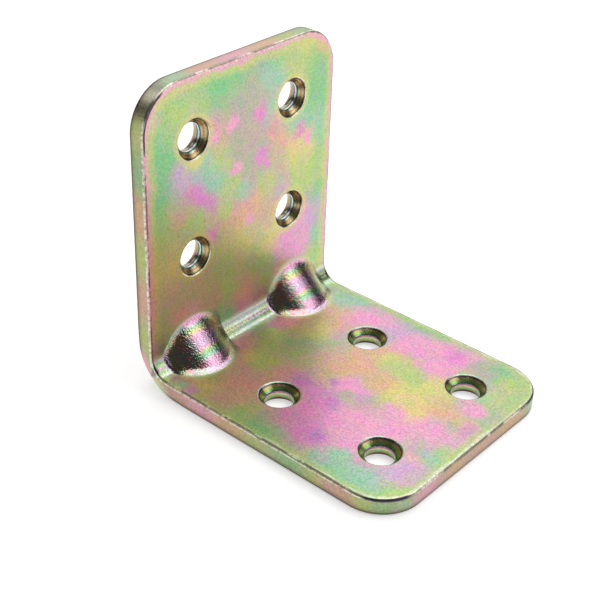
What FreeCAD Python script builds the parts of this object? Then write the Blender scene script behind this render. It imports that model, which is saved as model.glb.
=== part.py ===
import FreeCAD, Part
import math
import os
import Sketcher
from FreeCAD import Placement, Rotation, Vector

# Reinforced angle bracket: one piece of sheet steel, blanked, countersunk, bent square and
# stiffened with two gussets that are pressed into the bend from outside.
# The outer face of the upright leg lies on x = 0 and the underside of the base leg on z = 0.
# The middle plane of both legs is y = 0. Sizes are in millimetres and degrees.

SIZES = [
    ("leg_length", 60.0, "outside length of each leg, from the outer corner"),
    ("bracket_width", 50.0, "width across both legs"),
    ("sheet_thickness", 3.5, "thickness of the sheet"),
    ("inner_bend_radius", 4.0, "radius inside the bend"),
    ("outer_bend_radius", 9.0, "radius outside the bend, where the sheet is drawn thinner"),
    ("corner_radius", 8.5, "rounding of the four free corners"),
    ("edge_round", 0.45, "rounding of the blanked edges"),
    ("bore_diameter", 5.5, "screw hole"),
    ("countersink_diameter", 8.0, "countersink at the inner faces"),
    ("countersink_angle", 90.0, "full angle of the countersink"),
    ("rim_break", 0.2, "broken edge around the countersink"),
    ("bore_break", 0.35, "broken edge of the bore at the outer faces"),
    ("hole_spacing", 26.0, "holes of one row, centre to centre"),
    ("row_pitch", 23.75, "one row of holes to the next along a leg"),
    ("upright_first_row", 24.25, "first row of the upright leg, above the underside"),
    ("base_first_row", 25.0, "first row of the base leg, from the outer face"),
    ("gusset_spacing", 28.6, "the two gussets, centre to centre"),
    ("gusset_half_width", 8.0, "half of a gusset's width across the bend"),
    ("gusset_reach", 7.8, "how far a gusset climbs each leg from the inner corner"),
    ("gusset_wall", 2.7, "sheet left over a gusset's dent"),
    ("gusset_blend", 0.9, "blend around the foot of a gusset"),
    ("dent_round", 0.9, "rounding around the mouth of a dent"),
]

NODE = "angle_bracket"
HALF_TURN_OF_BEND = -45.0
TOLERANCE = 0.01

doc = FreeCAD.newDocument("reinforced_angle_bracket")
sheet = doc.addObject("Spreadsheet::Sheet", "sizes")
for row, (alias, value, meaning) in enumerate(SIZES, start=1):
    sheet.set("A%d" % row, meaning)
    sheet.set("B%d" % row, str(value))
    sheet.setAlias("B%d" % row, alias)
doc.recompute()

body = doc.addObject("PartDesign::Body", NODE)
body.Label = NODE


def size(alias):
    return float(sheet.get(alias))


def origin_plane(role):
    return [item for item in body.Origin.OriginFeatures if item.Role == role][0]


def new_sketch(name, role):
    sketch = body.newObject("Sketcher::SketchObject", name)
    sketch.AttachmentSupport = [(origin_plane(role), "")]
    sketch.MapMode = "FlatFace"
    return sketch


def tie(sketch, name, rule, kind, *parts):
    index = sketch.addConstraint(Sketcher.Constraint(kind, *parts))
    sketch.renameConstraint(index, name)
    sketch.setExpression("Constraints." + name, rule)


def link(sketch, kind, *pairs):
    for pair in pairs:
        sketch.addConstraint(Sketcher.Constraint(kind, *pair))


def finish(feature):
    body.Tip = feature
    doc.recompute()
    return feature


def line(start, end):
    return Part.LineSegment(Vector(*start, 0), Vector(*end, 0))


def quarter_arc(radius):
    circle = Part.Circle(Vector(radius, radius, 0), Vector(0, 0, 1), radius)
    return Part.ArcOfCircle(circle, math.pi, 1.5 * math.pi)


def middle(edge):
    return edge.valueAt((edge.FirstParameter + edge.LastParameter) / 2)


def break_edges(kind, name, base, alias, wanted):
    numbers = [number for number, edge in enumerate(base.Shape.Edges, start=1) if wanted(edge)]
    feature = body.newObject("PartDesign::" + kind, name)
    feature.Base = (base, ["Edge%d" % number for number in numbers])
    feature.setExpression("Radius" if kind == "Fillet" else "Size", "sizes." + alias)
    return finish(feature)


# The bent sheet, from its section seen from the side
def bent_sheet():
    length = size("leg_length")
    wall = size("sheet_thickness")
    outer = size("outer_bend_radius")
    inside = wall + size("inner_bend_radius")
    bend = quarter_arc(size("inner_bend_radius"))
    bend.translate(Vector(wall, wall, 0))
    sketch = new_sketch("section", "XZ_Plane")
    sketch.addGeometry([
        line((outer, 0), (length, 0)),
        line((length, 0), (length, wall)),
        line((length, wall), (inside, wall)),
        bend,
        line((wall, inside), (wall, length)),
        line((wall, length), (0, length)),
        line((0, length), (0, outer)),
        quarter_arc(outer),
    ])
    link(sketch, "Coincident", (0, 2, 1, 1), (1, 2, 2, 1), (4, 2, 5, 1), (5, 2, 6, 1))
    link(sketch, "Tangent", (2, 2, 3, 2), (3, 1, 4, 1), (6, 2, 7, 1), (7, 2, 0, 1))
    link(sketch, "Horizontal", (0,), (2,), (5,))
    link(sketch, "Vertical", (1,), (4,), (6,))
    link(sketch, "PointOnObject", (0, 1, -1), (6, 1, -2))
    tie(sketch, "base_length", "sizes.leg_length", "DistanceX", -1, 1, 0, 2, length)
    tie(sketch, "upright_length", "sizes.leg_length", "DistanceY", -1, 1, 6, 1, length)
    tie(sketch, "base_wall", "sizes.sheet_thickness", "DistanceY", 1, 1, 1, 2, wall)
    tie(sketch, "upright_wall", "sizes.sheet_thickness", "DistanceX", 5, 2, 5, 1, wall)
    tie(sketch, "bend_inside", "sizes.inner_bend_radius", "Radius", 3, inside - wall)
    tie(sketch, "bend_outside", "sizes.outer_bend_radius", "Radius", 7, outer)
    pad = body.newObject("PartDesign::Pad", "bent_sheet")
    pad.Profile = sketch
    pad.SideType = "Symmetric"
    pad.setExpression("Length", "sizes.bracket_width")
    return finish(pad)


def corner_edges():
    half = size("bracket_width") / 2
    length = size("leg_length")
    wall = size("sheet_thickness")
    spots = []
    for side in (-half, half):
        spots += [Vector(wall / 2, side, length), Vector(length, side, wall / 2)]
    return lambda edge: any(middle(edge).distanceToPoint(spot) < TOLERANCE for spot in spots)


# An ellipse across the bend, on the plane that halves it: x points out of the inner corner
def cross_section(name, depth_rule, half_width, half_width_rule, rise, rise_rule):
    sketch = new_sketch(name, "XY_Plane")
    sketch.AttachmentOffset = Placement(Vector(0, 0, 0), Rotation(Vector(0, 1, 0), HALF_TURN_OF_BEND))
    sketch.setExpression("AttachmentOffset.Base.x", depth_rule)
    sketch.setExpression("AttachmentOffset.Base.y", "-sizes.gusset_spacing / 2")
    sketch.setExpression("AttachmentOffset.Base.z", depth_rule)
    sketch.addGeometry(Part.Ellipse(Vector(0, half_width, 0), Vector(rise, 0, 0), Vector(0, 0, 0)))
    sketch.exposeInternalGeometry(0)
    link(sketch, "Coincident", (0, 3, -1, 1))
    link(sketch, "Vertical", (1,))
    tie(sketch, "across", "2 * (%s)" % half_width_rule, "Distance", 1, 2 * half_width)
    tie(sketch, "outwards", "2 * (%s)" % rise_rule, "Distance", 2, 2 * rise)
    return sketch


def along_crest(kind, name, sketch):
    feature = body.newObject("PartDesign::" + kind, name)
    feature.Profile = sketch
    feature.SideType = "Symmetric"
    feature.setExpression("Length", "2 * sqrt(2) * (sizes.sheet_thickness + sizes.gusset_reach)")
    finish(feature)
    mirror = body.newObject("PartDesign::Mirrored", name + "_pair")
    mirror.Originals = [feature]
    mirror.MirrorPlane = (origin_plane("XZ_Plane"), [""])
    return finish(mirror)


def gusset_crests():
    rise = size("gusset_reach") / math.sqrt(2)
    sketch = cross_section("crest_section", "sizes.sheet_thickness", size("gusset_half_width"),
                           "sizes.gusset_half_width", rise, "sizes.gusset_reach / sqrt(2)")
    return along_crest("Pad", "gusset_crest", sketch)


# Whatever stands out past the outer faces is taken off again
def outside_trim():
    outer = size("outer_bend_radius")
    far = 2 * (size("sheet_thickness") + size("gusset_reach"))
    sketch = new_sketch("outside", "XZ_Plane")
    sketch.addGeometry([
        line((outer, 0), (far, 0)),
        line((far, 0), (far, -far)),
        line((far, -far), (-far, -far)),
        line((-far, -far), (-far, far)),
        line((-far, far), (0, far)),
        line((0, far), (0, outer)),
        quarter_arc(outer),
    ])
    link(sketch, "Coincident", (0, 2, 1, 1), (1, 2, 2, 1), (2, 2, 3, 1), (3, 2, 4, 1), (4, 2, 5, 1))
    link(sketch, "Tangent", (5, 2, 6, 1), (6, 2, 0, 1))
    link(sketch, "Horizontal", (0,), (2,), (4,))
    link(sketch, "Vertical", (1,), (3,), (5,))
    link(sketch, "PointOnObject", (0, 1, -1), (5, 1, -2))
    reach = "2 * (sizes.sheet_thickness + sizes.gusset_reach)"
    tie(sketch, "right", reach, "DistanceX", -1, 1, 0, 2, far)
    tie(sketch, "down", reach, "DistanceY", 1, 2, 1, 1, far)
    tie(sketch, "left", reach, "DistanceX", 2, 2, -1, 1, far)
    tie(sketch, "up", reach, "DistanceY", -1, 1, 3, 2, far)
    tie(sketch, "bend_outside", "sizes.outer_bend_radius", "Radius", 6, outer)
    pocket = body.newObject("PartDesign::Pocket", "outside_trim")
    pocket.Profile = sketch
    pocket.SideType = "Symmetric"
    pocket.Type = "ThroughAll"
    return finish(pocket)


# The dents are as deep as the wall over them allows, and open at the outer face of the bend
def gusset_dents():
    depth = size("outer_bend_radius") * (1 - math.sqrt(0.5))
    crest = size("sheet_thickness") * math.sqrt(2) + size("gusset_reach") / math.sqrt(2)
    rise = crest - size("gusset_wall") - depth * math.sqrt(2)
    rise_rule = ("sizes.sheet_thickness * sqrt(2) + sizes.gusset_reach / sqrt(2) - sizes.gusset_wall"
                 " - sizes.outer_bend_radius * (sqrt(2) - 1)")
    sketch = cross_section("dent_section", "sizes.outer_bend_radius * (1 - sqrt(0.5))",
                           size("gusset_half_width") - size("gusset_wall"),
                           "sizes.gusset_half_width - sizes.gusset_wall", rise, rise_rule)
    return along_crest("Pocket", "gusset_dent", sketch)


def is_pressed(face):
    return not isinstance(face.Surface, (Part.Plane, Part.Cylinder))


# The edges where a pressed face meets the plain sheet, on its inner or its outer side
def pressing_edges(shape, inside):
    limit = size("sheet_thickness") - TOLERANCE

    def wanted(edge):
        owners = [face for face in shape.Faces if any(edge.isSame(other) for other in face.Edges)]
        if len(owners) != 2 or is_pressed(owners[0]) == is_pressed(owners[1]):
            return False
        return inside == (min(middle(edge).x, middle(edge).z) > limit)
    return wanted


# The outline of the blank, on both faces of the sheet, but not the edges across its thickness
def blanked_edge(edge):
    if isinstance(edge.Curve, Part.Line) and abs(edge.Length - size("sheet_thickness")) < TOLERANCE:
        return False
    corner = size("corner_radius")
    along = max(middle(edge).x, middle(edge).z) - size("leg_length") + corner
    across = abs(middle(edge).y) - size("bracket_width") / 2 + corner
    if along > TOLERANCE and across > TOLERANCE:
        return abs(math.hypot(along, across) - corner) < TOLERANCE
    return abs(max(along, across) - corner) < TOLERANCE


def screw_holes(name, role, first_row, leg_runs_along_x):
    sketch = new_sketch(name + "_centres", role)
    sketch.setExpression("AttachmentOffset.Base.z", "sizes.sheet_thickness")
    bore = size("bore_diameter")
    places = [(side, row) for side in (-0.5, 0.5) for row in (0, 1)]
    for number, (side, row) in enumerate(places):
        across = (side * size("hole_spacing"), "%s * sizes.hole_spacing" % side)
        along = (size(first_row) + row * size("row_pitch"),
                 "sizes.%s + %d * sizes.row_pitch" % (first_row, row))
        right, up = (along, across) if leg_runs_along_x else (across, along)
        sketch.addGeometry(Part.Circle(Vector(right[0], up[0], 0), Vector(0, 0, 1), bore / 2))
        tie(sketch, "right_%d" % number, right[1], "DistanceX", -1, 1, number, 3, right[0])
        tie(sketch, "up_%d" % number, up[1], "DistanceY", -1, 1, number, 3, up[0])
        tie(sketch, "bore_%d" % number, "sizes.bore_diameter", "Diameter", number, bore)
    doc.recompute()
    hole = body.newObject("PartDesign::Hole", name)
    hole.Profile = sketch
    doc.recompute()
    hole.DepthType = "ThroughAll"
    hole.HoleCutType = "Countersink"
    hole.HoleCutCustomValues = True
    hole.setExpression("Diameter", "sizes.bore_diameter")
    hole.setExpression("HoleCutDiameter", "sizes.countersink_diameter")
    hole.setExpression("HoleCutCountersinkAngle", "sizes.countersink_angle")
    return finish(hole)


def hole_circles(diameter, face_place):
    def wanted(edge):
        if not isinstance(edge.Curve, Part.Circle) or abs(edge.Curve.Radius - diameter / 2) > TOLERANCE:
            return False
        centre = edge.Curve.Center
        return min(abs(centre.x - face_place), abs(centre.z - face_place)) < TOLERANCE
    return wanted


def check(shape, volume_before, grows):
    if shape.isNull() or not shape.isValid() or (shape.Volume > volume_before) != grows:
        raise RuntimeError("a step of the bracket has failed")
    return shape.Volume


plain = bent_sheet()
cornered = break_edges("Fillet", "free_corners", plain, "corner_radius", corner_edges())
volume = check(cornered.Shape, plain.Shape.Volume, False)
crests = gusset_crests()
volume = check(crests.Shape, volume, True)
trimmed = outside_trim()
volume = check(trimmed.Shape, volume, False)
dents = gusset_dents()
volume = check(dents.Shape, volume, False)
feet = break_edges("Fillet", "gusset_feet", dents, "gusset_blend", pressing_edges(dents.Shape, True))
mouths = break_edges("Fillet", "dent_mouths", feet, "dent_round", pressing_edges(feet.Shape, False))
rounded = break_edges("Fillet", "blanked_edges", mouths, "edge_round", blanked_edge)
volume = check(rounded.Shape, volume, False)
base_holes = screw_holes("base_holes", "XY_Plane", "base_first_row", True)
volume = check(base_holes.Shape, volume, False)
upright_holes = screw_holes("upright_holes", "YZ_Plane", "upright_first_row", False)
volume = check(upright_holes.Shape, volume, False)
rims = break_edges("Chamfer", "countersink_rims", upright_holes, "rim_break",
                   hole_circles(size("countersink_diameter"), size("sheet_thickness")))
volume = check(rims.Shape, volume, False)
bores = break_edges("Chamfer", "bore_edges", rims, "bore_break", hole_circles(size("bore_diameter"), 0))
volume = check(bores.Shape, volume, False)

# The origin of the finished part is the middle of the footprint
body.setExpression("Placement.Base.x", "-sizes.leg_length / 2")
doc.recompute()

for item in doc.Objects:
    if "Invalid" in item.State or "Error" in item.State:
        raise RuntimeError("%s could not be built" % item.Name)
if body.Shape.isNull() or not body.Shape.isValid() or len(body.Shape.Solids) != 1:
    raise RuntimeError("the bracket is not one sound solid")

os.makedirs("parts", exist_ok=True)
body.Shape.exportStep("parts/%s.step" % body.Label)
print(body.Label, "volume", round(body.Shape.Volume, 1), "faces", len(body.Shape.Faces))
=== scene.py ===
import math

import bmesh
import bpy
from mathutils import Matrix, Vector


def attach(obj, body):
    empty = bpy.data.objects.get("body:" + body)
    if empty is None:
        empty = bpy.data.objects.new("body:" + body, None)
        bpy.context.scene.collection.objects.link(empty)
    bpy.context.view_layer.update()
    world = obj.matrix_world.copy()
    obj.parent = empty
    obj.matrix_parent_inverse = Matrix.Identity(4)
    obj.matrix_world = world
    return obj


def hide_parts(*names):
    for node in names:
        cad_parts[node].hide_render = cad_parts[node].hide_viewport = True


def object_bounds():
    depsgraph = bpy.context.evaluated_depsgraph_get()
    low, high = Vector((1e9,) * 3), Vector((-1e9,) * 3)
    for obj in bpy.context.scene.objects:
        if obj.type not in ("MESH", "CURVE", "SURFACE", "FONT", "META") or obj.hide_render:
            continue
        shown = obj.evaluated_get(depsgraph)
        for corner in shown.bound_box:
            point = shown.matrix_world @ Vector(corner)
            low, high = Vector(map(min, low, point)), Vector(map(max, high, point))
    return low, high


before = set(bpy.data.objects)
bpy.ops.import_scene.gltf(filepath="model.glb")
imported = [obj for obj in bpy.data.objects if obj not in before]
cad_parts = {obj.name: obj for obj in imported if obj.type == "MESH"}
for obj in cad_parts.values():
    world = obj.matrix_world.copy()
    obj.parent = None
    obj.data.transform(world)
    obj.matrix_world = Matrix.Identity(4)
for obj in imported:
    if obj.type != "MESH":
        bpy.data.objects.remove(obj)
CAD_LOW, CAD_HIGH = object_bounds()

bl_info = {
    "name": "Reinforced Angle Bracket",
    "version": (1, 0, 0),
    "blender": (4, 5, 0),
    "location": "View3D > Sidebar > Bracket",
    "description": "Builds a plated steel angle bracket and the plain studio it stands in",
    "category": "Object",
}

MM = 0.001

# Places are in millimetres from the outer corner of the bend: out along the base leg, across, and up.

# Clouds of the film on the inner face of the upright leg: across, up, radius and colour
UPRIGHT_CLOUDS = (
    (-19, 54, 8, "lime"), (-21, 46, 7, "green"), (-22, 38, 6, "green"), (-20, 31, 7, "lime"),
    (-21, 23, 7, "yellow"), (-20, 16, 6, "tan"), (-22, 12, 4, "moss"), (-11, 56, 5, "lime"),
    (-5, 55, 7, "green"), (4, 53, 5, "steel"), (8, 54, 4.5, "teal"), (12, 57, 4, "lime"),
    (18, 54, 7, "lime"), (17, 57.5, 2.8, "yellow"), (21, 48, 7, "green"), (22, 39, 6, "teal"),
    (21, 31, 6, "lime"), (22, 24, 4, "green"), (-1, 46, 9, "steel"), (1, 38, 8, "steel"),
    (-8, 47, 4.5, "rose"), (8, 47, 3.5, "teal"), (9, 43, 4, "rose"), (10, 37, 5, "tan"),
    (12, 41, 3.5, "salmon"), (14, 44, 4, "teal"), (16, 36, 5, "yellow"), (16, 31, 5, "lime"),
    (6, 32, 4, "lime"), (-5, 36, 4.5, "lime"), (-7, 42, 4, "lime"), (-12, 42, 5, "teal"),
    (-16, 41, 4, "lilac"), (-8, 38, 3.5, "teal"), (-17, 33.5, 3.5, "tan"), (-12, 31, 4, "lime"),
    (0, 33, 2.6, "teal"), (3, 28, 5, "salmon"), (-4, 27, 5, "salmon"), (-6, 22, 5, "lime"),
    (0, 21, 6, "yellow"), (-3, 16, 6, "lime"), (4, 16, 4.5, "moss"), (8, 20, 4.5, "yellow"),
    (9, 25, 3.5, "salmon"), (-12, 17, 5, "tan"), (-17, 13, 3.5, "rose"), (-13.5, 12.6, 2.5, "pink"),
    (-9, 12.5, 4, "rose"), (0, 10.5, 4.5, "rose"), (7, 11, 3, "moss"), (11, 12.5, 2.6, "salmon"),
    (12, 17, 4, "pink"), (17, 15, 5, "pink"), (17, 21, 3.5, "pink"), (21, 21, 4, "lilac"),
    (22, 15, 3.5, "teal"), (21, 10, 4, "lime"), (-5, 31, 2.5, "lime"), (4.3, 47.5, 2.2, "magenta"),
    (-3.2, 47.5, 1.7, "pink"), (-7.5, 46.5, 1.5, "pink"), (-13, 43.5, 2.2, "yellow"),
    (-13.5, 37.5, 2.4, "magenta"), (-11.5, 36, 2.2, "magenta"), (-9.5, 34, 2, "magenta"),
    (-2.5, 38.8, 1.8, "pink"), (4.3, 38.7, 2, "magenta"), (5.7, 37, 1.5, "magenta"),
    (15.5, 40.6, 1.8, "magenta"), (18, 38.2, 1.6, "pink"), (-9, 27, 2.2, "magenta"),
    (-24, 55, 3, "lilac"), (22, 57, 3, "rose"), (1.5, 26.5, 1.6, "pink"),
)

# The same on the inner face of the base leg: out, across, radius and colour
BASE_CLOUDS = (
    (11, -21, 5, "rose"), (13, -18, 4, "moss"), (14, -21, 3, "yellow"), (18, -16, 6, "rose"),
    (20, -21, 5, "rose"), (12, -9, 4, "rose"), (14, -7, 3.5, "yellow"), (17, -7, 4, "lime"),
    (12, 0, 6, "moss"), (16, 1, 6, "moss"), (16, 2, 3.5, "green"), (20, -1, 4.5, "moss"),
    (14, 5, 3.5, "moss"), (8.5, 4.5, 2.4, "violet"), (10, 8, 4, "rose"), (14, 11, 4, "salmon"),
    (16, 8, 4.5, "yellow"), (13, 18, 5, "salmon"), (12, 21, 4, "teal"), (16, 22, 4, "teal"),
    (18, 14, 4, "salmon"), (20, 19, 5, "pink"), (24, 20, 5, "pink"), (26, -23, 4, "green"),
    (30, -23.5, 5, "green"), (24, -21, 3.5, "moss"), (29, -19, 3.5, "steel"), (35, -23, 3.5, "steel"),
    (22, -8, 4, "rose"), (27, -9, 5, "magenta"), (32, -14, 6, "magenta"), (36, -18, 5, "magenta"),
    (36, -11, 6, "pink"), (24, 0, 5, "tan"), (25, 5, 5, "tan"), (28, 2, 5, "salmon"),
    (28, 10, 5, "salmon"), (31, 6, 5, "salmon"), (31, 13, 5, "salmon"), (27, 16, 4, "lilac"),
    (30, 20, 5, "lilac"), (33, 17, 4, "pink"), (33, -2, 4, "pink"), (38, 20, 6, "pink"),
    (42, 20, 5, "pink"), (41, 14, 5, "pink"), (46, 22, 3.5, "pink"), (34, 10, 3.5, "yellow"),
    (37, 8, 4.5, "lime"), (41, 7, 5, "lime"), (40, 2, 4.5, "yellow"), (45, 3, 5, "yellow"),
    (47, 0, 5, "yellow"), (46, 9, 4, "yellow"), (50, 4, 4, "salmon"), (36, 3, 3.5, "salmon"),
    (34.5, -4.5, 1.8, "steel"), (38.5, -5.5, 2.2, "steel"), (41, -10, 6, "pink"), (43, -16, 5, "pink"),
    (44, -19, 2.5, "teal"), (47, -23, 5, "teal"), (47, -8, 5, "pink"), (44, -3, 3.5, "pink"),
    (51, -3, 4.5, "pink"), (54, -14, 5, "pink"), (54, -15, 4, "lilac"), (53, -22, 4.5, "teal"),
    (57.5, -20, 3, "lime"), (57, -8, 2.6, "teal"), (58, -5, 3, "lime"), (57.5, 2, 3, "magenta"),
    (57, -2, 3, "pink"), (54, 8, 3.5, "pink"), (53, 13, 3, "teal"), (57, 14, 4.5, "lime"),
    (50, 20, 4.5, "green"), (55, 20, 4, "lime"), (48, 19, 3, "steel"), (26, -7.5, 3, "violet"),
    (34, -8.5, 1.8, "violet"), (37.5, -17.5, 2.4, "violet"), (29.5, -3, 1.4, "violet"),
    (30, -10, 5, "magenta"), (33, -15, 4, "magenta"), (42, 20, 2.5, "magenta"), (26, 24.8, 2.6, "green"),
    (31, 24.8, 2.8, "green"), (36, 24.8, 2.2, "green"),
)

# The same along the sheared sides of the sheet: place, radius and colour
# The pale cloud at the upright leg's near top corner is a painted highlight.
SIDE_CLOUDS = (
    ((1.7, -25, 52), 5, "lime"), ((1.7, -25, 44), 5, "green"), ((1.7, -25, 36), 5, "salmon"),
    ((1.7, -25, 28), 5, "lime"), ((1.7, -25, 19), 5, "rose"), ((1.7, -25, 11), 4, "lime"),
    ((2.5, -25, 3), 4, "lime"), ((10, -25, 1.7), 5, "rose"), ((17, -25, 1.7), 5, "pink"),
    ((24, -25, 1.7), 5, "salmon"), ((31, -25, 1.7), 4.5, "moss"), ((38, -25, 1.7), 4.5, "green"),
    ((44, -25, 1.7), 3, "lime"), ((49, -25, 1.7), 3.5, "rose"), ((53.8, -24.4, 1.7), 2.2, "lime"),
    ((57, -22.5, 1.7), 2.2, "green"), ((59.3, -19, 1.7), 2.2, "teal"), ((60, -14, 1.7), 4, "pink"),
    ((60, -6, 1.7), 4, "salmon"), ((60, 3, 1.7), 5, "rose"), ((60, 12, 1.7), 5, "salmon"),
    ((59, 20, 1.7), 4, "green"), ((1.7, -21.6, 58.3), 2.4, "pale"), ((1.7, -16, 60), 4, "teal"),
    ((1.7, -9, 60), 4, "rose"), ((1.7, -1, 60), 4.5, "pink"), ((1.7, 7, 60), 4, "salmon"),
    ((1.7, 13, 60), 3.5, "moss"), ((1.7, 19, 60), 4, "green"), ((1.7, 25, 45), 7, "green"),
    ((1.7, 25, 25), 7, "salmon"), ((15, 25, 1.7), 7, "pink"), ((32, 25, 1.7), 7, "lime"),
    ((48, 25, 1.7), 7, "lilac"),
)

# The same where the bend runs out at the near side
BEND_END_CLOUDS = (
    ((5.2, -23.4, 8.4), 1.8, "lilac"), ((4.6, -24, 5.8), 1.5, "green"), ((7.4, -23.2, 4.4), 1.6, "lilac"),
    ((6.4, -24.4, 4), 1.2, "lime"), ((9.5, -23.4, 3.6), 1.6, "teal"), ((12, -23.6, 3.5), 1.5, "lilac"),
)

# Colours met along the crest of a gusset, from the base leg's end to the upright leg's (mm)
CREST_BANDS = (
    (-5.5, "lilac"), (-4.3, "pink"), (-3.0, "pink"), (-2.3, "teal"), (-1.7, "green"), (-1.2, "lime"),
    (-0.5, "pink"), (0.6, "lilac"), (2.2, "pink"), (3.0, "yellow"), (3.5, "lime"), (4.0, "teal"),
    (4.6, "pink"), (5.5, "pink"),
)

# The same across the plain bend between the gussets
BEND_BANDS = (
    (-3.2, "teal"), (-2.5, "pale"), (-1.9, "green"), (-1.4, "pale"), (-0.4, "teal"), (0.4, "pale"),
    (1.4, "lilac"), (2.0, "pale"), (2.8, "teal"), (3.4, "green"),
)

# Fringes along the outline: where each starts and is full (mm), its share, and its colour on the
# upright leg and on the base leg
# The last fringe's pale on the base leg is a painted highlight along its edge.
FRINGES = (
    (5.2, 2.6, 0.22, "green", "green"), (2.5, 1.2, 0.5, "yellow", "lime"),
    (1.15, 0.6, 0.35, "pink", "lime"), (0.95, 0.5, 0.45, "pink", "pale"),
)

# Colours met going down into a screw hole, by the depth below the inner face (mm)
# Among the film colours, the pale rings are painted highlights, the ink rings painted dark reflections,
# and the dark colours low in each bore painted shade.
UPRIGHT_HOLE_BANDS = (
    (0.0, "yellow"), (0.1, "pale"), (0.22, "ink"), (0.36, "bronze"), (0.55, "olive"), (0.75, "bronze"),
    (0.95, "rose"), (1.1, "teal"), (1.22, "ink"), (1.4, "green"), (1.6, "pale"), (1.8, "magenta"),
    (2.0, "ink"), (2.25, "teal"), (2.6, "bronze"), (2.95, "salmon"), (3.4, "ink"),
)
BASE_HOLE_BANDS = (
    (0.0, "teal"), (0.14, "steel"), (0.26, "ink"), (0.42, "salmon"), (0.62, "lime"), (0.9, "lime"),
    (1.08, "green"), (1.2, "lilac"), (1.34, "lilac"), (1.44, "ink"), (1.6, "rose"), (1.9, "olive"),
    (2.2, "green"), (2.6, "bronze"), (2.9, "ink"), (3.4, "ink"),
)

# Painted dark reflections on the rounded edge of the base leg: out, across, where each starts and is full
# (mm), share
EDGE_DARK_REFLECTIONS = (
    (57.3, -22.3, 4.6, 3.4, 0.95), (59.0, 19.5, 4.0, 2.6, 0.85),
)

# The same painted dark reflection on the upright leg's near corner: across, up, and so on
CORNER_DARK_REFLECTION = (-23.4, 54.6, 5.8, 4.4, 0.9)

# Where the inner face creases at each end of the bend: out, across, up
CREASE = (4.2, 24.8, 4.4)

# How far inside the outline the painted highlights, dark reflections and shade on the edge's rounding
# start and are full (mm)
HIGHLIGHT_RIM = (0.16, 0.08)
SEAM = (0.24, 0.12)
DARK_REFLECTION_RIM = (0.36, 0.26)
LINE_INSIDE, LINE_OUTSIDE = (0.52, 0.42), (0.14, 0.22)
OUTER_ROUNDING = (0.6, 0.3)

# Fineness of the mesh: steps round a corner, an edge and a hole, and cuts along and across the bend
CORNER_STEPS = 30
EDGE_STEPS = 5
HOLE_STEPS = 96
BEND_CUTS = 71
WIDTH_CUTS = 219

# The lamps: place, aim and size (mm)
PANELS = (
    ("side_panel", (132, 100, 155), (-25, 0, 5), (140, 190)),
    ("back_panel", (-160, 240, 250), (0, 0, 5), (440, 360)),
    ("top_panel", (20, 60, 500), (0, 0, 0), (450, 450)),
)

# The camera: azimuth, elevation and roll (degrees), aim and distance (mm), and focal length in
# pixels of a frame 600 pixels wide
CAMERA_ANGLES = (40.197, 32.309, 2.077)
CAMERA_AIM = (-13.351, 1.789, 13.744)
CAMERA_DISTANCE = 243.165
FOCAL_PIXELS, FRAME_PIXELS, SENSOR_MM = 1268.869, 600, 36


def length(name, text, default):
    return bpy.props.FloatProperty(name=name, description=text, default=default, unit="LENGTH")


def tint(name, text, *colour):
    return bpy.props.FloatVectorProperty(name=name, description=text, default=colour, subtype="COLOR",
                                         size=3, min=0, max=1)


def level(name, text, default):
    return bpy.props.FloatProperty(name=name, description=text, default=default, min=0)


class BracketSizes(bpy.types.PropertyGroup):
    leg_length: length("Leg length", "Outside length of each leg", CAD_HIGH.z - CAD_LOW.z)
    width: length("Width", "Width across both legs", CAD_HIGH.y - CAD_LOW.y)
    sheet: length("Sheet", "Thickness of the sheet", 0.0035)
    inner_bend: length("Inner bend", "Radius inside the bend", 0.004)
    outer_bend: length("Outer bend", "Radius outside the bend", 0.009)
    corner: length("Corner", "Rounding of the free corners", 0.0085)
    edge: length("Edge", "Rounding of the blanked edges", 0.00045)
    bore: length("Bore", "Diameter of a screw hole", 0.0055)
    countersink: length("Countersink", "Diameter of a countersink", 0.008)
    hole_spacing: length("Hole spacing", "Holes of one row, centre to centre", 0.026)
    row_pitch: length("Row pitch", "One row of holes to the next", 0.02375)
    upright_row: length("Upright row", "Height of the upright leg's first row", 0.02425)
    base_row: length("Base row", "Distance out to the base leg's first row", 0.025)
    gusset_spacing: length("Gusset spacing", "The gussets, centre to centre", 0.0286)
    gusset_width: length("Gusset width", "Width of a gusset across the bend", 0.016)
    gusset_reach: length("Gusset reach", "How far a gusset climbs each leg", 0.0078)
    gusset_wall: length("Gusset wall", "Sheet left over a gusset's dent", 0.0027)


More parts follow.
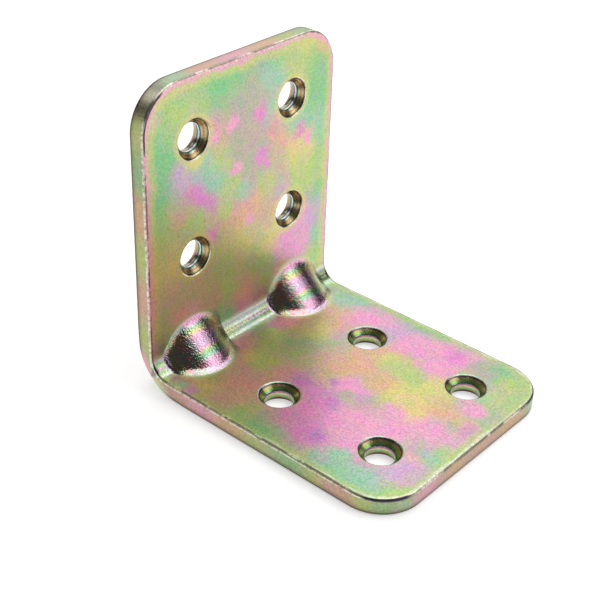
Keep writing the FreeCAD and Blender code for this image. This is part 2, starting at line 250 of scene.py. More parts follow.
class PlatingColours(bpy.types.PropertyGroup):
    pink: tint("Pink", "Film colour", 0.88, 0.34, 0.62)
    salmon: tint("Salmon", "Film colour", 0.74, 0.43, 0.27)
    yellow: tint("Yellow", "Film colour", 0.72, 0.64, 0.20)
    lime: tint("Lime", "Film colour", 0.46, 0.62, 0.18)
    green: tint("Green", "Film colour", 0.18, 0.56, 0.24)
    teal: tint("Teal", "Film colour", 0.28, 0.60, 0.42)
    lilac: tint("Lilac", "Film colour", 0.60, 0.38, 0.64)
    violet: tint("Violet", "Film colour", 0.54, 0.18, 0.62)
    magenta: tint("Magenta", "Film colour", 0.78, 0.22, 0.60)
    rose: tint("Rose", "Film colour", 0.72, 0.36, 0.34)
    moss: tint("Moss", "Film colour", 0.40, 0.57, 0.17)
    tan: tint("Tan", "Film colour", 0.60, 0.45, 0.30)
    steel: tint("Steel", "Plated steel where the film's colours mix", 0.45, 0.41, 0.35)
    bronze: tint("Bronze", "Film colour inside the screw holes", 0.42, 0.28, 0.08)
    olive: tint("Olive", "Tint of the sheared sides", 0.60, 0.55, 0.30)
    # Pale is bright zinc on the pressed bend and gussets, and also painted highlight on the edge
    # roundings, the base leg's fringe, a side corner and rings in the holes.
    pale: tint("Pale", "Worn bright zinc", 0.88, 0.86, 0.76)
    # Dark marks the pits, and is also painted dark reflection along the edge roundings and painted shade
    # on the outer rounding near the floor.
    dark: tint("Dark", "Old soiling in corners and along edges", 0.14, 0.11, 0.08)
    # Ink is painted dark reflection at the edge's corners and in rings down the holes, and painted shade
    # in the bend's creases and low in the bores.
    ink: tint("Ink", "Soiling inside the screw holes and on knocks", 0.06, 0.05, 0.07)


class StudioSettings(bpy.types.PropertyGroup):
    room: level("Room", "Brightness of the room around the camera", 0.06)
    far_wall: level("Far wall", "Brightness of the far wall", 0.4)
    skirting: level("Skirting", "Brightness low down, all round", 0.9)
    window: level("Window", "Brightness of the window behind the upright leg", 1.2)
    side_panel: level("Side panel", "Brightness of the panel at the right", 1.4)
    back_panel: level("Back panel", "Brightness of the panel at the back", 1.2)
    top_panel: level("Top panel", "Brightness of the panel overhead", 2.0)
    floor_glow: level("Floor glow", "How far the floor is lifted towards white", 0.5)


class Number:
    """A value socket that takes part in Python arithmetic."""

    def __init__(self, material, socket):
        self.material = material
        self.socket = socket

    def math(self, operation, *others):
        node = self.material.node("ShaderNodeMath", {"operation": operation}, self, *others)
        return Number(self.material, node.outputs[0])

    def __add__(self, other):
        return self.math("ADD", other)

    __radd__ = __add__

    def __sub__(self, other):
        return self.math("SUBTRACT", other)

    def __rsub__(self, other):
        return self * -1.0 + other

    def __mul__(self, other):
        return self.math("MULTIPLY", other)

    __rmul__ = __mul__

    def __truediv__(self, other):
        return self.math("DIVIDE", other)

    def __pow__(self, other):
        return self.math("POWER", other)

    def __abs__(self):
        return self.math("ABSOLUTE")

    def least(self, other):
        return self.math("MINIMUM", other)

    def most(self, other):
        return self.math("MAXIMUM", other)


class Material:
    """A node tree with one way to add a node."""

    def __init__(self, tree):
        self.tree = tree
        self.tree.nodes.clear()

    def node(self, kind, settings=None, *values, **named):
        made = self.tree.nodes.new(kind)
        for key, value in (settings or {}).items():
            if key == "stops":
                self.set_stops(made.color_ramp, value)
            else:
                setattr(made, key, value)
        by_name = [(made.inputs[key.replace("_", " ")], value) for key, value in named.items()]
        for socket, value in list(zip(made.inputs, values)) + by_name:
            self.feed(socket, value)
        return made

    def feed(self, socket, value):
        if isinstance(value, Number):
            value = value.socket
        if isinstance(value, bpy.types.NodeSocket):
            self.tree.links.new(value, socket)
        else:
            socket.default_value = value

    def set_stops(self, ramp, stops):
        while len(ramp.elements) < len(stops):
            ramp.elements.new(1.0)
        for element, (place, colour) in zip(ramp.elements, stops):
            element.position = place
            element.color = (*colour, 1.0)

    def vector(self, operation, *values):
        return self.node("ShaderNodeVectorMath", {"operation": operation}, *values).outputs["Vector"]

    def distance(self, first, second):
        made = self.node("ShaderNodeVectorMath", {"operation": "DISTANCE"}, first, second)
        return Number(self, made.outputs["Value"])

    def mix(self, amount, first, second, blend="MIX"):
        made = self.node("ShaderNodeMix", {"data_type": "RGBA", "blend_type": blend})
        for index, value in ((0, amount), (6, first), (7, second)):
            self.feed(made.inputs[index], value)
        return made.outputs[2]

    def step(self, value, low, high, most=1.0):
        """A smooth step. It needs no clamp, and with one the engine runs out of room for the values."""
        made = self.node("ShaderNodeMapRange", {"interpolation_type": "SMOOTHSTEP", "clamp": False},
                         value, low, high, 0.0, most)
        return Number(self, made.outputs[0])

    def texture(self, place, size, detail, roughness):
        return self.node("ShaderNodeTexNoise", {"noise_dimensions": "3D"}, Vector=place,
                         Scale=1.0 / size, Detail=detail, Roughness=roughness)

    def noise(self, place, size, detail=2.0, roughness=0.5):
        return Number(self, self.texture(place, size, detail, roughness).outputs[0])

    def swirl(self, place, size, detail, roughness):
        return self.texture(place, size, detail, roughness).outputs[1]


def new_material(name):
    made = bpy.data.materials.new(name)
    made.use_nodes = True
    return made, Material(made.node_tree)


class Plating:
    """The film's colours laid over one another, in millimetres from the outer corner."""

    def __init__(self, shader, sizes, colours):
        self.shader, self.sizes, self.colours = shader, sizes, colours
        self.wall, self.half = sizes.sheet / MM, sizes.width / MM / 2
        held = shader.node("ShaderNodeTexCoord").outputs["Object"]
        self.place = shader.node("ShaderNodeMapping", {}, held, (sizes.leg_length / MM / 2, 0, 0),
                                 (0, 0, 0), (1 / MM, 1 / MM, 1 / MM)).outputs[0]
        parts = shader.node("ShaderNodeSeparateXYZ", {}, self.place)
        self.x, self.y, self.z = [Number(shader, socket) for socket in parts.outputs]
        self.along = self.x.most(self.z)
        self.height = self.x.least(self.z)
        self.across = abs(self.y)
        self.base = shader.step(self.x - self.z, -0.5, 0.5)
        self.wander = shader.noise(self.place, 1.6, 3.0) - 0.5
        self.warped = shader.vector("ADD", self.place, self.drift(5.0, 1.8))
        self.warped = shader.vector("ADD", self.warped, self.drift(1.6, 1.0))
        self.inside = self.outline_distance()
        self.radius = self.hole_distance()
        self.film = None

    def outline_distance(self):
        """How far a point of either leg lies inside the outline of the blank."""
        corner = self.sizes.corner / MM
        along = self.sizes.leg_length / MM - self.along
        across = self.half - self.across
        short_along = (corner - along).most(0.0)
        short_across = (corner - across).most(0.0)
        arc = corner - (short_along * short_along + short_across * short_across) ** 0.5
        return along.least(across).least(arc)

    def hole_distance(self):
        """How far a point of either leg lies from the axis of the nearest screw hole."""
        sizes = self.sizes
        first = self.base * ((sizes.base_row - sizes.upright_row) / MM) + sizes.upright_row / MM
        half_pitch = sizes.row_pitch / MM / 2
        out = abs(self.along - first - half_pitch) - half_pitch
        side = self.across - sizes.hole_spacing / MM / 2
        return (out * out + side * side) ** 0.5

    def colour(self, name):
        return (*getattr(self.colours, name), 1.0)

    def lay(self, share, colour, blend="MIX"):
        if isinstance(colour, str):
            colour = self.colour(colour)
        self.film = self.shader.mix(share, self.film, colour, blend)

    def ramp(self, amount, stops):
        """Colours at set amounts, blended between them."""
        low, high = stops[0][0], stops[-1][0]
        placed = [((spot - low) / (high - low), tuple(getattr(self.colours, name)))
                  for spot, name in stops]
        amount = (amount - low) * (1 / (high - low))
        return self.shader.node("ShaderNodeValToRGB", {"stops": placed}, amount).outputs[0]

    def drift(self, size, reach):
        """A wandering offset for the edges of the clouds."""
        centred = self.shader.vector("SUBTRACT", self.shader.swirl(self.place, size, 3.0, 0.6),
                                     (0.5, 0.5, 0.5))
        return self.shader.vector("MULTIPLY", centred, (2 * reach, 2 * reach, 2 * reach))

    def swirls(self, size, turns, detail=4.0):
        """Every film colour in turn, as the thickness of the film wanders."""
        names = ("pink", "salmon", "yellow", "lime", "green", "teal", "lilac", "magenta", "pink")
        stops = [(index / (len(names) - 1), name) for index, name in enumerate(names)]
        wave = self.shader.noise(self.place, size, detail, 0.55) * turns
        return self.ramp(wave.math("FRACT"), stops)

    def drawn_out(self, along, through, detail):
        """Noise with its own scale along the sheet and through its thickness."""
        legs = []
        for scale in ((through, along, along), (along, along, through)):
            where = self.shader.node("ShaderNodeMapping", {}, self.place, (0, 0, 0), (0, 0, 0), scale)
            legs.append(self.shader.noise(where.outputs[0], 1.0, detail, 0.6))
        return legs[0] + (legs[1] - legs[0]) * self.base

    def clouds(self, clouds, where, strength, soft=1.35, core=0.25):
        """Round clouds, full within their core and gone at their soft edge, in parts of the radius."""
        for centre, radius, name in clouds:
            away = self.shader.distance(where, centre)
            self.lay(self.shader.step(away, radius * soft, radius * core, strength), name)

    def paint_faces(self):
        """Swirls of all the colours, and over them the clouds of each leg's inner face."""
        self.film = self.swirls(9.0, 3.4)
        self.lay(0.5, "steel")
        upright = [((self.wall, side, up), radius, name) for side, up, radius, name in UPRIGHT_CLOUDS]
        base = [((out, side, self.wall), radius, name) for out, side, radius, name in BASE_CLOUDS]
        self.clouds(upright + base, self.warped, 0.9)
        self.lay(0.14, self.swirls(7.0, 5.0))

    def paint_fringes(self):
        """Ragged fringes along the outline, and a yellow one round each screw hole."""
        stray = (self.shader.noise(self.place, 4.0, 4.0) - 0.5) * 2.4
        ragged = (self.inside + stray) / (1.3 - self.base * 0.3)
        for start, full, share, upright, base in FRINGES:
            self.lay(self.shader.step(ragged, start, full, share),
                     self.shader.mix(self.base, self.colour(upright), self.colour(base)))
        self.lay(self.shader.step(self.radius, 5.4, 4.5) * (0.5 - self.base * 0.4), "yellow")

    def paint_flecks(self):
        """Fine flecks of all the film's colours."""
        amount = self.shader.step(self.shader.noise(self.place, 6.0), 0.35, 0.65) * 0.07 + 0.05
        self.lay(amount, self.swirls(1.5, 4.0, 1.0))

    def paint_sides(self):
        """The sheared sides of the sheet: clouds and streaks under a tint of olive."""
        faces = self.film
        self.film = self.colour("steel")
        streaked = self.shader.vector("ADD", self.place, self.drift(3.5, 1.6))
        self.clouds(SIDE_CLOUDS, streaked, 0.9, 1.6)
        streaks = self.drawn_out(0.22, 1.6, 4.0) * 2.5
        self.lay(0.3, self.ramp(streaks.math("FRACT"), (
            (0.0, "salmon"), (0.25, "lime"), (0.5, "pink"), (0.75, "green"), (1.0, "salmon"))))
        self.lay(0.15, "steel")
        # The olive multiply darkens the sides: partly their own tint, partly painted shade from the
        # shadowed floor they reflect.
        self.lay(0.25, "olive", "MULTIPLY")
        self.on_side = self.shader.step(self.inside, 0.22, 0.06)
        self.film = self.shader.mix(self.on_side, faces, self.film)

    def paint_bend(self):
        """Bands along the bend, and clouds where it runs out."""
        self.climb = abs(self.z - self.x)
        self.crest = (self.z - self.x) * math.sqrt(0.5) + self.wander * 0.8
        rise = (self.x + self.z - self.climb) * math.sqrt(0.5) - self.wall * math.sqrt(2)
        self.pressed = self.shader.step(rise, 0.02, 0.4)
        self.lay(self.pressed * 0.75, self.ramp(self.crest, BEND_BANDS))
        self.lay(self.pressed * 0.35, "pale")
        self.lay(self.pressed * 0.3, "teal")
        self.clouds(BEND_END_CLOUDS, self.warped, 0.8)

    def paint_gussets(self):
        """A lime halo at each gusset's foot, bands along its crest, and films on its two flanks."""
        shader, spacing = self.shader, self.sizes.gusset_spacing / MM
        spread = (self.across - spacing / 2) * (2 * MM / self.sizes.gusset_width)
        arch = (1 - spread * spread).most(0.0) ** 0.5 * (self.sizes.gusset_reach / MM)
        over = arch - self.climb
        halo = shader.step(over + self.wander * 0.8, -2.2, -0.6) * self.pressed.most(0.5)
        self.lay(halo * shader.step(abs(spread), 1.5, 1.15, 0.6), "lime")
        self.on_crest = shader.step(over + self.wander * 0.4, -0.7, 0.2)
        self.lay(self.on_crest, self.ramp(self.crest + spread * 0.3, CREST_BANDS))
        self.lay(self.on_crest * 0.25, "pale")

        sideways = self.y + spacing / 2 - shader.step(self.y, -0.5, 0.5, spacing)
        tight, loose = sideways + self.wander, sideways + self.wander * 2
        mottled = self.ramp(shader.noise(self.place, 2.6), (
            (0.34, "salmon"), (0.44, "rose"), (0.52, "teal"), (0.6, "rose")))
        self.lay(self.on_crest * shader.step(tight, -2.0, -3.4, 0.8), mottled)
        self.lay(self.on_crest * shader.step(loose, -5.6, -6.6, 0.5), "lime")
        # Painted reflection of the lit side: lilac at the very tip of the left flank.
        self.lay(self.on_crest * shader.step(loose, -6.6, -7.6, 0.8), "lilac")
        self.lay(self.on_crest * shader.step(tight, 2.2, 4.2, 0.85), self.ramp(
            self.crest, ((-5, "moss"), (-3, "olive"), (0, "moss"), (3, "bronze"), (5, "olive"))))

    def paint_hole_walls(self):
        """Rings of colour down each hole, as far as the outer face."""
        rim = self.sizes.countersink / MM / 2
        self.sunk = self.wall - self.height
        self.in_hole = (self.shader.step(self.radius, rim + 0.12, rim + 0.02)
                        * self.shader.step(self.sunk, self.wall - 0.04, self.wall - 0.25))
        rings = self.sunk + (self.shader.noise(self.place, 1.2) - 0.5) * 0.2
        # The rings hold painted highlights, painted dark reflections and painted shade low in the bore,
        # as well as film colours.
        self.lay(self.in_hole, self.shader.mix(self.base, self.ramp(rings, UPRIGHT_HOLE_BANDS),
                                               self.ramp(rings, BASE_HOLE_BANDS)))

    def paint_specks(self):
        """The satin's fine dark specks and a few pits."""
        fine = self.shader.noise(self.place, 0.4, 3.0, 0.65)
        specks = self.shader.node("ShaderNodeValToRGB", {
            "stops": [(0.38, (0.45, 0.45, 0.45)), (0.58, (1.0, 1.0, 1.0))]}, fine)
        self.lay(self.base * 0.1 + 0.35, specks.outputs[0], "MULTIPLY")
        cells = self.shader.node("ShaderNodeTexVoronoi", {}, Vector=self.place, Scale=1 / 1.4,
                                 Randomness=1.0)
        pits = self.shader.step(Number(self.shader, cells.outputs["Distance"]), 0.16, 0.06)
        self.lay(pits * self.shader.step(self.shader.noise(self.place, 5.0), 0.45, 0.6, 0.45), "dark")

    def paint_edges(self):
        """Painted highlights and dark reflections on the edge's rounding, and painted shade on the outer
        one and in the creases at the bend's ends.
        """
        shader, wall, inside = self.shader, self.wall, self.inside
        patches, broken = shader.noise(self.place, 0.8, 3.0, 0.7), shader.noise(self.place, 5.0)
        upper = shader.step(self.height, wall - 0.6, wall - 0.4)
        long_side = shader.step(self.half - self.across, 0.9, 0.6)
        short_side = 1 - long_side

        # Painted highlight: pale in patches on the rounding next to the outline.
        rim_highlight = shader.step(inside, *HIGHLIGHT_RIM) * upper
        self.lay(rim_highlight * shader.step(patches, 0.40, 0.55, 0.7), "pale")
        # A line on the rounding: a painted dark reflection in dashes along the long sides, and a painted
        # highlight in pale on the ends and corners.
        line = upper * shader.step(inside, *LINE_INSIDE) * shader.step(inside, *LINE_OUTSIDE)
        dashes = shader.step(broken * 0.6 + patches * 0.4, 0.60, 0.50, 0.85)
        self.lay(line * dashes * long_side, "dark")
        self.lay(line * shader.step(patches, 0.45, 0.6, 0.5) * short_side, "pale")
        # Painted dark reflection: a thin dark line at the outline on the ends and corners.
        seam = shader.step(self.height, wall - 0.7, wall - 0.5) * shader.step(inside, *SEAM)
        self.lay(seam * short_side * shader.step(broken, 0.4, 0.55, self.base * 0.2 + 0.6), "dark")

        # Painted shade: the outer rounding darkens towards the floor, standing in for the contact shadow
        # it reflects.
        outer = shader.step(inside, *OUTER_ROUNDING)
        self.lay(outer * shader.step(self.height, 1.6, 0.3, 0.5), "steel", "MULTIPLY")
        self.lay(outer * shader.step(self.height, 0.8, 0.5, 0.85), "dark")

        # Painted dark reflections in ink on the rounding at the base leg's corners.
        for out, side, start, full, share in EDGE_DARK_REFLECTIONS:
            edge_dark_reflection = shader.step(shader.distance(self.place, (out, side, wall)), start, full, share)
            self.lay(edge_dark_reflection * shader.step(inside, *DARK_REFLECTION_RIM) * upper, "ink")
        # Painted dark reflection in ink along the rounding at the upright leg's near corner.
        side, up, start, full, share = CORNER_DARK_REFLECTION
        corner_dark_reflection = shader.step(shader.distance(self.place, (wall, side, up)), start, full, share)
        self.lay(corner_dark_reflection * line, "ink")
        # Painted shade in ink where the inner face creases at each end of the bend.
        out, side, up = CREASE
        away = ((self.x - out) ** 2 + (self.z - up) ** 2 + (self.across - side) ** 2) ** 0.5
        crease = shader.step(away + self.wander * 0.6, 1.1, 0.5, 0.9)
        self.lay(crease * shader.step(inside, 0.02, 0.12), "ink")

    def relief(self):
        """Height of the satin: finer and rougher on the gussets, with peel here and there."""
        shader = self.shader
        peel = shader.step(shader.noise(self.place, 16.0), 0.42, 0.60)
        return (shader.noise(self.place, 0.45, 3.0, 0.6) * (self.on_crest * 0.6 + 1.0)
                + shader.noise(self.place, 0.28, 1.0) * self.on_crest * 2.6
                + shader.noise(self.place, 1.1) * (peel * 0.9 + 0.6) * (1 - self.pressed * 0.8)
                + self.drawn_out(1.3, 0.2, 2.0) * self.on_side * 1.8)

    def roughness(self):
        """Satin on the faces, brighter where the sheet was pressed and at the lip of each bore."""
        lip = self.shader.step(abs(self.sunk - 1.28), 0.22, 0.1)
        return (0.30 + self.shader.noise(self.place, 1.5, 3.0) * 0.10
                - self.pressed * (self.on_crest * 0.12 + 0.10)
                - self.in_hole * (lip * 0.12 + 0.08))


def plated_steel(sizes, colours):
    """Zinc plated steel under an iridescent film, with a satin grain, and painted highlights, dark
    reflections and shade on its edges.
    """
    made, shader = new_material("plated_steel")
    plating = Plating(shader, sizes, colours)
    plating.paint_faces()
    plating.paint_fringes()
    plating.paint_flecks()
    plating.paint_sides()
    plating.paint_bend()
    plating.paint_gussets()
    plating.paint_hole_walls()
    plating.paint_specks()
    plating.paint_edges()
    bump = shader.node("ShaderNodeBump", {}, Strength=0.5, Distance=0.05 * MM, Height=plating.relief())
    surface = shader.node("ShaderNodeBsdfPrincipled", {}, Base_Color=plating.film, Metallic=1.0,
                          Roughness=plating.roughness(), Normal=bump.outputs[0])
    shader.node("ShaderNodeOutputMaterial", {}, surface.outputs[0])
    return made


def smooth_most(first, second, blend):
    """The larger of two heights, with a fillet where they cross."""
    near = max(blend - abs(first - second), 0.0)
    return max(first, second) + near * near / (4 * blend)


class BendForm:
    """Carries a point of the flat blank to its place on the bent and pressed bracket, in mm."""

    MARGIN = 2.4  # bent zone past a gusset's end
    FILLET_ROOM = 0.45  # taken off a crest's half width, which its fillet gives back
    END_FILLET, SIDE_FILLET, DENT_FILLET = 1.0, 3.0, 0.9
    FALL = 3.0  # how steeply a gusset's arch drops past its half width
    NECK, NECK_SHARE = 0.35, 1 / 8  # how far the bend's ends draw in, and over what share of the width

    def __init__(self, sizes):
        self.wall = sizes.sheet / MM
        self.half = sizes.width / MM / 2
        self.inner = sizes.inner_bend / MM
        self.outer = sizes.outer_bend / MM
        self.spacing = sizes.gusset_spacing / MM
        self.gusset_half = sizes.gusset_width / MM / 2
        self.rise = sizes.gusset_reach / MM / math.sqrt(2)
        self.gusset_wall = sizes.gusset_wall / MM
        self.zone = self.wall + sizes.gusset_reach / MM + self.MARGIN
        self.corner_depth = self.wall * math.sqrt(2)
        self.mouth_depth = self.outer * (math.sqrt(2) - 1)

    def inner_depth(self, c):
        """The inner surface's distance from the outer corner, c to one side of the diagonal."""
        if abs(c) < self.inner / math.sqrt(2):
            centre = (self.wall + self.inner) * math.sqrt(2)
            return centre - math.sqrt(self.inner ** 2 - c * c)
        return abs(c) + self.corner_depth

    def outer_depth(self, c):
        """The same for the outer surface."""
        if abs(c) < self.outer / math.sqrt(2):
            return self.outer * math.sqrt(2) - math.sqrt(self.outer ** 2 - c * c)
        return abs(c)

    def from_middle(self, y, half):
        """How far across the nearest gusset a point lies, 1 at its half width."""
        return abs(abs(y) - self.spacing / 2) / half

    def pressed(self, y, half, foot, rise):
        """The depth of a gusset's arch, or of its dent's, which drops away past its half width."""
        share = self.from_middle(y, half)
        if share < 1:
            return foot + rise * math.sqrt(1 - share * share)
        return foot - self.FALL * (share - 1) * half

    def place(self, w, y, height):
        """w runs along the blank from the outer corner, and height up through the sheet."""
        if w >= self.zone:
            return Vector((w, y, height))
        if w <= -self.zone:
            return Vector((height, y, -w))
        t = w / self.zone
        c_in = -t * (self.zone - self.wall) / math.sqrt(2)
        c_out = -t * self.zone / math.sqrt(2)
        crest = self.pressed(y, self.gusset_half - self.FILLET_ROOM, self.corner_depth, self.rise)
        spread = min(self.from_middle(y, self.gusset_half), 1.1)
        fillet = self.END_FILLET + (self.SIDE_FILLET - self.END_FILLET) * spread * spread
        s_in = smooth_most(self.inner_depth(c_in), crest, fillet)
        dent_rise = self.corner_depth + self.rise - self.gusset_wall - self.mouth_depth
        dent = self.pressed(y, self.gusset_half - self.gusset_wall, self.mouth_depth, dent_rise)
        s_out = smooth_most(self.outer_depth(c_out), dent, self.DENT_FILLET)
        share = height / self.wall
        c = c_out + (c_in - c_out) * share
        s = s_out + (s_in - s_out) * share
        end = max(0.0, 1 - (1 - abs(y) / self.half) / self.NECK_SHARE)
        neck = self.NECK * (1 - t * t) ** 2 * (1 - share) * end
        return Vector(((s - c) / math.sqrt(2), y - math.copysign(neck, y), (s + c) / math.sqrt(2)))


def is_level(edge, height):
    return all(abs(vert.co.z - height) < 1e-4 for vert in edge.verts)


def run(edge, axis):
    """How far an edge runs along an axis."""
    return abs(edge.verts[0].co[axis] - edge.verts[1].co[axis])


def round_edges(bm, edges, radius, steps):
    bmesh.ops.bevel(bm, geom=edges, offset=radius, offset_type="OFFSET", segments=steps, profile=0.5,
                    affect="EDGES", material=-1)


def flat_blank(bm, sizes, zone):
    """The blank before bending: rounded corners and edges, a fine grid where it bends, no flat faces."""
    wall = sizes.sheet / MM
    bmesh.ops.create_cube(bm, size=1.0)
    bmesh.ops.scale(bm, vec=(2 * sizes.leg_length / MM, sizes.width / MM, wall), verts=bm.verts)
    bmesh.ops.translate(bm, vec=(0, 0, wall / 2), verts=bm.verts)
    corners = [edge for edge in bm.edges if run(edge, 2) > wall / 2]
    round_edges(bm, corners, sizes.corner / MM, CORNER_STEPS)
    rims = [edge for edge in bm.edges if is_level(edge, 0) or is_level(edge, wall)]
    round_edges(bm, rims, sizes.edge / MM, EDGE_STEPS)
    for cut in (-zone, zone):
        bmesh.ops.bisect_plane(bm, geom=bm.verts[:] + bm.edges[:] + bm.faces[:], dist=1e-5,
                               plane_co=(cut, 0, 0), plane_no=(1, 0, 0))
    for axis, cuts in ((0, BEND_CUTS), (1, WIDTH_CUTS)):
        bent = [edge for edge in bm.edges if run(edge, axis) > zone
                and all(abs(vert.co.x) < zone + 1e-3 for vert in edge.verts)]
        bmesh.ops.subdivide_edges(bm, edges=bent, cuts=cuts, use_grid_fill=True)
    flats = [face for face in bm.faces
             if abs(face.normal.z) > 0.999 and abs(face.calc_center_median().x) > zone]
    bmesh.ops.delete(bm, geom=flats, context="FACES_ONLY")


def curve_points(start, corner, end, steps):
    """Points from start to end, rounding the corner between them."""
    points = []
    for step in range(steps + 1):
        t = step / steps
        points.append(tuple((1 - t) ** 2 * a + 2 * t * (1 - t) * b + t * t * c
                            for a, b, c in zip(start, corner, end)))
    return points


def hole_wall(sizes):
    """One countersunk hole about its own axis, turned from its profile of radius and height."""
    wall, bore, sink = sizes.sheet / MM, sizes.bore / MM / 2, sizes.countersink / MM / 2
    rim = 0.2
    slope = rim / math.sqrt(2)
    seat = wall - (sink - bore)
    profile = curve_points((sink + rim, wall), (sink, wall), (sink - slope, wall - slope), 5)
    profile += curve_points((bore + 0.1, seat + 0.1), (bore, seat), (bore, seat - 0.14), 4)
    profile += curve_points((bore + 0.06, 1.1), (bore + 0.28, 0.0), (bore + 0.7, 0.0), 8)
    bm = bmesh.new()
    verts = [bm.verts.new((radius, 0, height)) for radius, height in profile]
    edges = [bm.edges.new(pair) for pair in zip(verts, verts[1:])]
    bmesh.ops.spin(bm, geom=verts + edges, cent=(0, 0, 0), axis=(0, 0, 1), dvec=(0, 0, 0),
                   angle=2 * math.pi, steps=HOLE_STEPS, use_merge=True, use_duplicate=False)
    mesh = bpy.data.meshes.new("hole_wall")
    bm.to_mesh(mesh)
    bm.free()
    return mesh


def add_hole(bm, wall, w, y):
    before = set(bm.verts)
    bm.from_mesh(wall)
    fresh = [vert for vert in bm.verts if vert not in before]
    bmesh.ops.translate(bm, vec=(w, y, 0), verts=fresh)


def fill_flats(bm, form):
    """The flat faces of both legs, round their screw holes."""
    for sign in (-1, 1):
        for height in (0.0, form.wall):
            rim = [edge for edge in bm.edges if edge.is_boundary and is_level(edge, height)
                   and all(sign * vert.co.x > form.zone - 1e-3 for vert in edge.verts)]
            bmesh.ops.triangle_fill(bm, use_beauty=True, use_dissolve=False, edges=rim,
                                    normal=(0, 0, 1))


def bracket_mesh(sizes):
    """The bent and pressed bracket as one closed mesh."""
    form = BendForm(sizes)
    bm = bmesh.new()
    flat_blank(bm, sizes, form.zone)
    wall = hole_wall(sizes)
    for side in (-0.5, 0.5):
        for row in (0, 1):
            across = side * sizes.hole_spacing / MM
            add_hole(bm, wall, (sizes.base_row + row * sizes.row_pitch) / MM, across)
            add_hole(bm, wall, -(sizes.upright_row + row * sizes.row_pitch) / MM, across)
    bpy.data.meshes.remove(wall)
    fill_flats(bm, form)
    for vert in bm.verts:
        vert.co = form.place(*vert.co)
    if any(not edge.is_manifold for edge in bm.edges):
        raise RuntimeError("the bracket's mesh is not closed")
    bmesh.ops.recalc_face_normals(bm, faces=bm.faces)
    bmesh.ops.translate(bm, vec=(-sizes.leg_length / MM / 2, 0, 0), verts=bm.verts)
    bmesh.ops.scale(bm, vec=(MM, MM, MM), verts=bm.verts)
    mesh = bpy.data.meshes.new("angle_bracket_plated")
    bm.to_mesh(mesh)
    bm.free()
    mesh.shade_smooth()
    return mesh


class BRACKET_OT_body(bpy.types.Operator):
    """Model the bent and pressed bracket and plate it"""

    bl_idname = "bracket.body"
    bl_label = "Bracket"

    def execute(self, context):
        scene = context.scene
        piece = bpy.data.objects.new("angle_bracket_plated", bracket_mesh(scene.bracket_sizes))
        scene.collection.objects.link(piece)
        piece.data.materials.append(plated_steel(scene.bracket_sizes, scene.plating_colours))
        weighted = piece.modifiers.new("even_normals", "WEIGHTED_NORMAL")
        weighted.mode = "FACE_AREA"
        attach(piece, "root")
        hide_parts("angle_bracket")
        return {"FINISHED"}


def studio_world(settings):
    """A dim room with a pale skirting, a far wall and a window, and plain white for the camera."""
    world = bpy.data.worlds.new("studio")
    world.use_nodes = True
    shader = Material(world.node_tree)
    direction = shader.node("ShaderNodeTexCoord").outputs["Generated"]
    parts = shader.node("ShaderNodeSeparateXYZ", {}, direction)
    along, across, up = [Number(shader, socket) for socket in parts.outputs]
    far_wall = shader.step(across, 0.965, 0.99) * settings.far_wall
    window = shader.step(up * 0.72 - along * 0.67 - across * 0.17, 0.95, 0.985) * settings.window
    skirting = shader.step(up, 0.28, 0.16) * settings.skirting
    skirting = skirting * (1 - shader.step(along * 0.65 - across * 0.76, 0.8, 0.95, 0.9))
    skirting = skirting * (1 - shader.step(across, 0.7, 0.85, 0.9))
    brightness = far_wall.most(skirting).most(window).most(settings.room)
    room = shader.node("ShaderNodeBackground", {}, (1, 1, 1, 1), brightness)
    white = shader.node("ShaderNodeBackground", {}, (1, 1, 1, 1), 1.0)
    seen = shader.node("ShaderNodeLightPath").outputs["Is Camera Ray"]
    both = shader.node("ShaderNodeMixShader", {}, seen, room.outputs[0], white.outputs[0])
    shader.node("ShaderNodeOutputWorld", {}, both.outputs[0])
    return world


def floor_material(settings):
    """Matt and pale, and lifted to white for the camera and for reflections, more so far away."""
    made, shader = new_material("pale_floor")
    matt = shader.node("ShaderNodeBsdfDiffuse", {}, (0.8, 0.8, 0.8, 1))
    path = shader.node("ShaderNodeLightPath")
    seen = Number(shader, path.outputs["Is Camera Ray"])
    for name in ("Is Glossy Ray", "Is Transmission Ray"):
        seen = seen.most(Number(shader, path.outputs[name]))
    held = shader.node("ShaderNodeTexCoord").outputs["Object"]
    far = shader.step(shader.distance(held, (0, 0, 0)), 0.22, 0.7)
    lift = far * (1 - settings.floor_glow) + settings.floor_glow
    glow = shader.node("ShaderNodeEmission", {}, (1, 1, 1, 1), seen * lift)
    total = shader.node("ShaderNodeAddShader", {}, matt.outputs[0], glow.outputs[0])
    shader.node("ShaderNodeOutputMaterial", {}, total.outputs[0])
    return made


def studio_floor(scene, settings):
    mesh = bpy.data.meshes.new("floor")
    bm = bmesh.new()
    bmesh.ops.create_grid(bm, x_segments=1, y_segments=1, size=3.0)
    bm.to_mesh(mesh)
    bm.free()
    floor = bpy.data.objects.new("floor", mesh)
    floor.data.materials.append(floor_material(settings))
    scene.collection.objects.link(floor)


def soft_panel(scene, name, place, aim, size, brightness):
    """A plain rectangular lamp of even brightness, in millimetres, turned towards aim."""
    lamp = bpy.data.lights.new(name, "AREA")
    lamp.shape = "RECTANGLE"
    lamp.size, lamp.size_y = size[0] * MM, size[1] * MM
    lamp.energy = brightness * math.pi * lamp.size * lamp.size_y
    holder = bpy.data.objects.new(name, lamp)
    away = Vector(place) - Vector(aim)
    holder.matrix_world = (Matrix.Translation(Vector(place) * MM)
                           @ away.to_track_quat("Z", "Y").to_matrix().to_4x4())
    holder.visible_camera = False
    scene.collection.objects.link(holder)


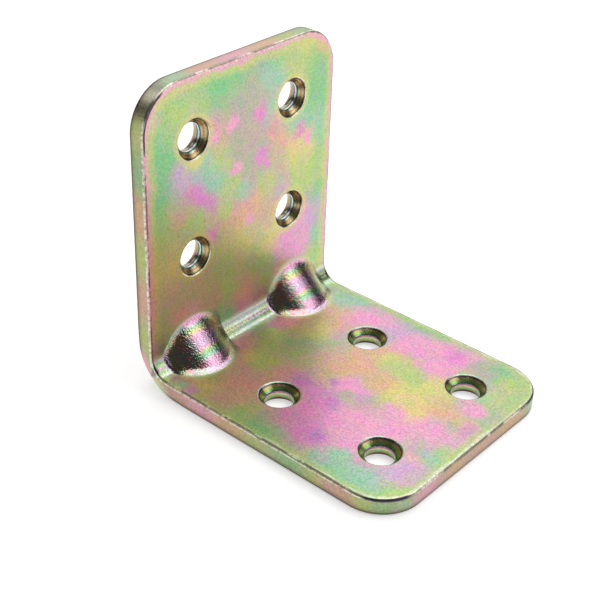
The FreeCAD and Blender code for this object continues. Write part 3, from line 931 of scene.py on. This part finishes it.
def studio_camera(scene):
    azimuth, elevation, roll = [math.radians(angle) for angle in CAMERA_ANGLES]
    back = Vector((math.sin(azimuth) * math.cos(elevation), -math.cos(azimuth) * math.cos(elevation),
                   math.sin(elevation)))
    data = bpy.data.cameras.new("camera")
    data.lens = FOCAL_PIXELS / FRAME_PIXELS * SENSOR_MM
    data.clip_start, data.clip_end = 0.01, 10.0
    camera = bpy.data.objects.new("camera", data)
    turn = (-back).to_track_quat("-Z", "Y").to_matrix().to_4x4()
    place = (Vector(CAMERA_AIM) + back * CAMERA_DISTANCE) * MM
    camera.matrix_world = Matrix.Translation(place) @ turn @ Matrix.Rotation(roll, 4, "Z")
    scene.collection.objects.link(camera)
    return camera


class BRACKET_OT_stage(bpy.types.Operator):
    """Set the pale floor, the soft light and the camera"""

    bl_idname = "bracket.stage"
    bl_label = "Studio"

    def execute(self, context):
        scene = context.scene
        settings = scene.studio_settings
        studio_floor(scene, settings)
        scene.world = studio_world(settings)
        scene.view_settings.view_transform = "Standard"
        for name, place, aim, size in PANELS:
            soft_panel(scene, name, place, aim, size, getattr(settings, name))
        scene.camera = studio_camera(scene)
        return {"FINISHED"}


class BRACKET_PT_panel(bpy.types.Panel):
    """Lists the pieces and their settings"""

    bl_label = "Angle Bracket"
    bl_idname = "BRACKET_PT_panel"
    bl_space_type = "VIEW_3D"
    bl_region_type = "UI"
    bl_category = "Bracket"

    def draw(self, context):
        layout = self.layout
        layout.operator("bracket.body")
        layout.operator("bracket.stage")
        scene = context.scene
        for group in (scene.bracket_sizes, scene.plating_colours, scene.studio_settings):
            column = layout.column()
            for name in group.bl_rna.properties.keys():
                if name not in ("rna_type", "name"):
                    column.prop(group, name)


CLASSES = (BracketSizes, PlatingColours, StudioSettings, BRACKET_OT_body, BRACKET_OT_stage,
           BRACKET_PT_panel)


def register():
    for cls in CLASSES:
        bpy.utils.register_class(cls)
    bpy.types.Scene.bracket_sizes = bpy.props.PointerProperty(type=BracketSizes)
    bpy.types.Scene.plating_colours = bpy.props.PointerProperty(type=PlatingColours)
    bpy.types.Scene.studio_settings = bpy.props.PointerProperty(type=StudioSettings)


def unregister():
    del bpy.types.Scene.studio_settings
    del bpy.types.Scene.plating_colours
    del bpy.types.Scene.bracket_sizes
    for cls in reversed(CLASSES):
        bpy.utils.unregister_class(cls)


def main():
    register()
    bpy.ops.bracket.body()
    bpy.ops.bracket.stage()


if __name__ == "__main__":
    main()
